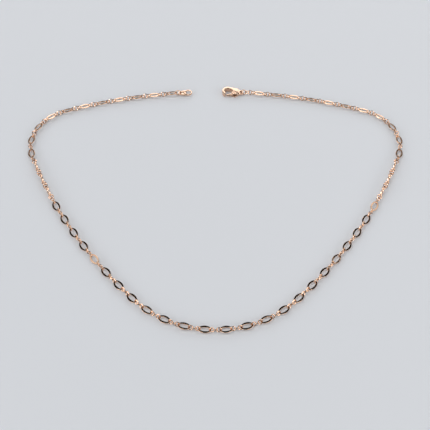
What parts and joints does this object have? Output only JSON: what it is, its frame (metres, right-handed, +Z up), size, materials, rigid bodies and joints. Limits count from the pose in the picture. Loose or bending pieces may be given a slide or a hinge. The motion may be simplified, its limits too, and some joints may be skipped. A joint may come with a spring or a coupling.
{
  "type": "chain necklace",
  "caption": "Fine rose gold coloured chain of flat oval links, each followed by three small round wire links, with a lobster clasp and an end tag.",
  "frame": {"origin": "centre of the laid loop's bounding box, on the table it lies on", "axes": "+Z up from the table; the front of the U points to -Y and the open clasp ends are at +Y; +X to the wearer's left"},
  "size_m": [0.1656, 0.129, 0.0032],
  "materials": {
    "link_metal": "polished, rose gold plated",
    "ring_metal": "polished, rose gold plated",
    "clasp_metal": "polished, rose gold plated",
    "spring_steel": "bright drawn wire"
  },
  "bodies": {
    "link_run_01": {"run_01": "link_metal"},
    "link_run_02": {"run_02": "link_metal"},
    "link_run_03": {"run_03": "link_metal"},
    "link_run_04": {"run_04": "link_metal"},
    "link_run_05": {"run_05": "link_metal"},
    "link_run_06": {"run_06": "link_metal"},
    "link_run_07": {"run_07": "link_metal"},
    "link_run_08": {"run_08": "link_metal"},
    "link_run_09": {"run_09": "link_metal"},
    "link_run_10": {"run_10": "link_metal"},
    "link_run_11": {"run_11": "link_metal"},
    "link_run_12": {"run_12": "link_metal"},
    "link_run_13": {"run_13": "link_metal"},
    "link_run_14": {"run_14": "link_metal"},
    "link_run_15": {"run_15": "link_metal"},
    "link_run_16": {"run_16": "link_metal"},
    "link_run_17": {"run_17": "link_metal"},
    "link_run_18": {"run_18": "link_metal"},
    "link_run_19": {"run_19": "link_metal"},
    "link_run_20": {"run_20": "link_metal"},
    "link_run_21": {"run_21": "link_metal"},
    "link_run_22": {"run_22": "link_metal"},
    "link_run_23": {"run_23": "link_metal"},
    "link_run_24": {"run_24": "link_metal"},
    "link_run_25": {"run_25": "link_metal"},
    "link_run_26": {"run_26": "link_metal"},
    "link_run_27": {"run_27": "link_metal"},
    "link_run_28": {"run_28": "link_metal"},
    "link_run_29": {"run_29": "link_metal"},
    "link_run_30": {"run_30": "link_metal"},
    "link_run_31": {"run_31": "link_metal"},
    "link_run_32": {"run_32": "link_metal"},
    "link_run_33": {"run_33": "link_metal"},
    "link_run_34": {"run_34": "link_metal"},
    "link_run_35": {"run_35": "link_metal"},
    "link_run_36": {"run_36": "link_metal"},
    "link_run_37": {"run_37": "link_metal"},
    "link_run_38": {"run_38": "link_metal"},
    "link_run_39": {"run_39": "link_metal"},
    "link_run_40": {"run_40": "link_metal"},
    "link_run_41": {"run_41": "link_metal"},
    "link_run_42": {"run_42": "link_metal"},
    "link_run_43": {"run_43": "link_metal"},
    "link_run_44": {"run_44": "link_metal"},
    "link_run_45": {"run_45": "link_metal"},
    "link_run_46": {"run_46": "link_metal"},
    "link_run_47": {"run_47": "link_metal"},
    "link_run_48": {"run_48": "link_metal"},
    "link_run_49": {"run_49": "link_metal"},
    "link_run_50": {"run_50": "link_metal"},
    "link_run_51": {"run_51": "link_metal"},
    "link_run_52": {"run_52": "link_metal"},
    "clasp_ring_part": {"clasp_ring": "ring_metal"},
    "clasp": {"clasp_body": "clasp_metal", "clasp_rivet": "clasp_metal", "clasp_spring": "spring_steel"},
    "trigger": {"clasp_trigger": "clasp_metal"},
    "end_ring_part": {"end_ring": "ring_metal"},
    "tag": {"end_tag": "ring_metal"}
  },
  "joints": [
    {"name": "clasp_ring_lift", "type": "hinge", "parent": "link_run_52", "child": "clasp_ring_part", "pos_m": [0.01407, 0.0614, 0.0015], "axis": [0.0642, 0.9979, 0], "range_deg": [0, 20]},
    {"name": "clasp_turn", "type": "hinge", "parent": "clasp_ring_part", "child": "clasp", "pos_m": [0.01189, 0.06155, 0.001], "axis": [0, 0, 1], "range_deg": [-40, 40]},
    {"name": "clasp_trigger_open", "type": "hinge", "parent": "clasp", "child": "trigger", "pos_m": [0.00869, 0.0608, 0.001], "axis": [0, 0, -1], "range_deg": [0, 24], "stiffness_Nm_per_rad": 0.00002, "springref_deg": -5.73},
    {"name": "end_ring_lift", "type": "hinge", "parent": "link_run_01", "child": "end_ring_part", "pos_m": [-0.01818, 0.06107, 0.0015], "axis": [0.0849, -0.9964, 0], "range_deg": [0, 20]},
    {"name": "end_tag_turn", "type": "hinge", "parent": "end_ring_part", "child": "tag", "pos_m": [-0.01601, 0.06126, 0.001], "axis": [0, 0, 1], "range_deg": [-40, 40]},
    {"name": "run_27_turn", "type": "hinge", "parent": "link_run_26", "child": "link_run_27", "pos_m": [0.00206, -0.06318, 0.00113], "axis": [0, 0, -1], "range_deg": [-4, 20]},
    {"name": "run_28_lift", "type": "hinge", "parent": "link_run_27", "child": "link_run_28", "pos_m": [0.01002, -0.06208, 0.00113], "axis": [0.2274, -0.9738, 0], "range_deg": [0, 20]},
    {"name": "run_29_turn", "type": "hinge", "parent": "link_run_28", "child": "link_run_29", "pos_m": [0.01765, -0.05954, 0.00113], "axis": [0, 0, 1], "range_deg": [-20, 4]},
    {"name": "run_30_lift", "type": "hinge", "parent": "link_run_29", "child": "link_run_30", "pos_m": [0.02469, -0.05566, 0.00113], "axis": [-0.5603, 0.8283, 0], "range_deg": [0, 20]},
    {"name": "run_31_turn", "type": "hinge", "parent": "link_run_30", "child": "link_run_31", "pos_m": [0.03091, -0.05057, 0.00113], "axis": [0, 0, 1], "range_deg": [-20, 5]},
    {"name": "run_32_lift", "type": "hinge", "parent": "link_run_31", "child": "link_run_32", "pos_m": [0.03651, -0.04479, 0.00113], "axis": [0.7313, -0.6821, 0], "range_deg": [0, 20]},
    {"name": "run_33_turn", "type": "hinge", "parent": "link_run_32", "child": "link_run_33", "pos_m": [0.04189, -0.0388, 0.00113], "axis": [0, 0, -1], "range_deg": [-18, 20]},
    {"name": "run_34_lift", "type": "hinge", "parent": "link_run_33", "child": "link_run_34", "pos_m": [0.04706, -0.03263, 0.00113], "axis": [-0.7789, 0.6272, 0], "range_deg": [0, 20]},
    {"name": "run_35_turn", "type": "hinge", "parent": "link_run_34", "child": "link_run_35", "pos_m": [0.05199, -0.02627, 0.00113], "axis": [0, 0, -1], "range_deg": [-18, 20]},
    {"name": "run_36_lift", "type": "hinge", "parent": "link_run_35", "child": "link_run_36", "pos_m": [0.05669, -0.01973, 0.00113], "axis": [0.8224, -0.5689, 0], "range_deg": [0, 20]},
    {"name": "run_37_turn", "type": "hinge", "parent": "link_run_36", "child": "link_run_37", "pos_m": [0.06115, -0.01303, 0.00113], "axis": [0, 0, 1], "range_deg": [-20, 18]},
    {"name": "run_38_lift", "type": "hinge", "parent": "link_run_37", "child": "link_run_38", "pos_m": [0.06536, -0.00617, 0.00113], "axis": [-0.8616, 0.5077, 0], "range_deg": [0, 20]},
    {"name": "run_39_turn", "type": "hinge", "parent": "link_run_38", "child": "link_run_39", "pos_m": [0.06932, 0.00084, 0.00161], "axis": [0, 0, 1], "range_deg": [-20, 18]},
    {"name": "run_40_lift", "type": "hinge", "parent": "link_run_39", "child": "link_run_40", "pos_m": [0.07302, 0.00799, 0.00162], "axis": [0.8962, -0.4437, 0], "range_deg": [0, 20]},
    {"name": "run_41_turn", "type": "hinge", "parent": "link_run_40", "child": "link_run_41", "pos_m": [0.07646, 0.01527, 0.00162], "axis": [0, 0, -1], "range_deg": [-18, 20]},
    {"name": "run_42_lift", "type": "hinge", "parent": "link_run_41", "child": "link_run_42", "pos_m": [0.07963, 0.02266, 0.00119], "axis": [-0.926, 0.3774, 0], "range_deg": [0, 20]},
    {"name": "run_43_turn", "type": "hinge", "parent": "link_run_42", "child": "link_run_43", "pos_m": [0.08136, 0.03047, 0.00113], "axis": [0, 0, -1], "range_deg": [-18, 20]},
    {"name": "run_44_lift", "type": "hinge", "parent": "link_run_43", "child": "link_run_44", "pos_m": [0.07994, 0.03834, 0.00113], "axis": [0.9295, 0.3687, 0], "range_deg": [0, 20]},
    {"name": "run_45_turn", "type": "hinge", "parent": "link_run_44", "child": "link_run_45", "pos_m": [0.07558, 0.04505, 0.00113], "axis": [0, 0, 1], "range_deg": [-20, 18]},
    {"name": "run_46_lift", "type": "hinge", "parent": "link_run_45", "child": "link_run_46", "pos_m": [0.06896, 0.04954, 0.00113], "axis": [-0.3878, -0.9217, 0], "range_deg": [0, 20]},
    {"name": "run_47_turn", "type": "hinge", "parent": "link_run_46", "child": "link_run_47", "pos_m": [0.06137, 0.0522, 0.00113], "axis": [0, 0, 1], "range_deg": [-20, 18]},
    {"name": "run_48_lift", "type": "hinge", "parent": "link_run_47", "child": "link_run_48", "pos_m": [0.05366, 0.05453, 0.00113], "axis": [0.2697, 0.9629, 0], "range_deg": [0, 20]},
    {"name": "run_49_turn", "type": "hinge", "parent": "link_run_48", "child": "link_run_49", "pos_m": [0.04587, 0.05654, 0.00113], "axis": [0, 0, -1], "range_deg": [-18, 20]},
    {"name": "run_50_lift", "type": "hinge", "parent": "link_run_49", "child": "link_run_50", "pos_m": [0.038, 0.05824, 0.00113], "axis": [-0.1909, -0.9816, 0], "range_deg": [0, 20]},
    {"name": "run_51_turn", "type": "hinge", "parent": "link_run_50", "child": "link_run_51", "pos_m": [0.03007, 0.05962, 0.00113], "axis": [0, 0, -1], "range_deg": [-18, 20]},
    {"name": "run_52_lift", "type": "hinge", "parent": "link_run_51", "child": "link_run_52", "pos_m": [0.02209, 0.06067, 0.00114], "axis": [0.1109, 0.9938, 0], "range_deg": [0, 20]},
    {"name": "run_25_turn", "type": "hinge", "parent": "link_run_26", "child": "link_run_25", "pos_m": [-0.00597, -0.06283, 0.00113], "axis": [0, 0, 1], "range_deg": [-4, 20]},
    {"name": "run_24_lift", "type": "hinge", "parent": "link_run_25", "child": "link_run_24", "pos_m": [-0.0138, -0.06102, 0.00113], "axis": [0.3131, 0.9497, 0], "range_deg": [0, 20]},
    {"name": "run_23_turn", "type": "hinge", "parent": "link_run_24", "child": "link_run_23", "pos_m": [-0.02117, -0.05781, 0.00113], "axis": [0, 0, -1], "range_deg": [-20, 4]},
    {"name": "run_22_lift", "type": "hinge", "parent": "link_run_23", "child": "link_run_22", "pos_m": [-0.02784, -0.05332, 0.00113], "axis": [-0.6317, -0.7752, 0], "range_deg": [0, 20]},
    {"name": "run_21_turn", "type": "hinge", "parent": "link_run_22", "child": "link_run_21", "pos_m": [-0.03367, -0.04778, 0.00113], "axis": [0, 0, -1], "range_deg": [-20, 6]},
    {"name": "run_20_lift", "type": "hinge", "parent": "link_run_21", "child": "link_run_20", "pos_m": [-0.03916, -0.04189, 0.00113], "axis": [0.7432, 0.669, 0], "range_deg": [0, 20]},
    {"name": "run_19_turn", "type": "hinge", "parent": "link_run_20", "child": "link_run_19", "pos_m": [-0.04444, -0.03581, 0.00113], "axis": [0, 0, 1], "range_deg": [-18, 20]},
    {"name": "run_18_lift", "type": "hinge", "parent": "link_run_19", "child": "link_run_18", "pos_m": [-0.04949, -0.02955, 0.00113], "axis": [-0.7899, -0.6133, 0], "range_deg": [0, 20]},
    {"name": "run_17_turn", "type": "hinge", "parent": "link_run_18", "child": "link_run_17", "pos_m": [-0.05431, -0.0231, 0.00113], "axis": [0, 0, 1], "range_deg": [-18, 20]},
    {"name": "run_16_lift", "type": "hinge", "parent": "link_run_17", "child": "link_run_16", "pos_m": [-0.05889, -0.01648, 0.00113], "axis": [0.8324, 0.5542, 0], "range_deg": [0, 20]},
    {"name": "run_15_turn", "type": "hinge", "parent": "link_run_16", "child": "link_run_15", "pos_m": [-0.06323, -0.0097, 0.00113], "axis": [0, 0, -1], "range_deg": [-20, 18]},
    {"name": "run_14_lift", "type": "hinge", "parent": "link_run_15", "child": "link_run_14", "pos_m": [-0.06732, -0.00277, 0.00113], "axis": [-0.8704, -0.4923, 0], "range_deg": [0, 20]},
    {"name": "run_13_turn", "type": "hinge", "parent": "link_run_14", "child": "link_run_13", "pos_m": [-0.07116, 0.00431, 0.00162], "axis": [0, 0, -1], "range_deg": [-20, 18]},
    {"name": "run_12_lift", "type": "hinge", "parent": "link_run_13", "child": "link_run_12", "pos_m": [-0.07473, 0.01152, 0.00162], "axis": [0.9039, 0.4278, 0], "range_deg": [0, 20]},
    {"name": "run_11_turn", "type": "hinge", "parent": "link_run_12", "child": "link_run_11", "pos_m": [-0.07804, 0.01886, 0.00161], "axis": [0, 0, 1], "range_deg": [-18, 20]},
    {"name": "run_10_lift", "type": "hinge", "parent": "link_run_11", "child": "link_run_10", "pos_m": [-0.08086, 0.02639, 0.00113], "axis": [-0.9751, -0.2216, 0], "range_deg": [0, 20]},
    {"name": "run_09_turn", "type": "hinge", "parent": "link_run_10", "child": "link_run_09", "pos_m": [-0.08106, 0.03438, 0.00113], "axis": [0, 0, 1], "range_deg": [-18, 20]},
    {"name": "run_08_lift", "type": "hinge", "parent": "link_run_09", "child": "link_run_08", "pos_m": [-0.07815, 0.04183, 0.00113], "axis": [0.8411, -0.5408, 0], "range_deg": [0, 20]},
    {"name": "run_07_turn", "type": "hinge", "parent": "link_run_08", "child": "link_run_07", "pos_m": [-0.07258, 0.04757, 0.00113], "axis": [0, 0, -1], "range_deg": [-20, 18]},
    {"name": "run_06_lift", "type": "hinge", "parent": "link_run_07", "child": "link_run_06", "pos_m": [-0.06528, 0.05089, 0.00113], "axis": [-0.3281, 0.9446, 0], "range_deg": [0, 20]},
    {"name": "run_05_turn", "type": "hinge", "parent": "link_run_06", "child": "link_run_05", "pos_m": [-0.05762, 0.05338, 0.00113], "axis": [0, 0, -1], "range_deg": [-20, 18]},
    {"name": "run_04_lift", "type": "hinge", "parent": "link_run_05", "child": "link_run_04", "pos_m": [-0.04987, 0.05555, 0.00113], "axis": [0.2506, -0.9681, 0], "range_deg": [0, 20]},
    {"name": "run_03_turn", "type": "hinge", "parent": "link_run_04", "child": "link_run_03", "pos_m": [-0.04204, 0.05741, 0.00113], "axis": [0, 0, 1], "range_deg": [-18, 20]},
    {"name": "run_02_lift", "type": "hinge", "parent": "link_run_03", "child": "link_run_02", "pos_m": [-0.03414, 0.05895, 0.00113], "axis": [-0.1715, 0.9852, 0], "range_deg": [0, 20]},
    {"name": "run_01_turn", "type": "hinge", "parent": "link_run_02", "child": "link_run_01", "pos_m": [-0.02618, 0.06017, 0.00113], "axis": [0, 0, 1], "range_deg": [-18, 20]}
  ]
}
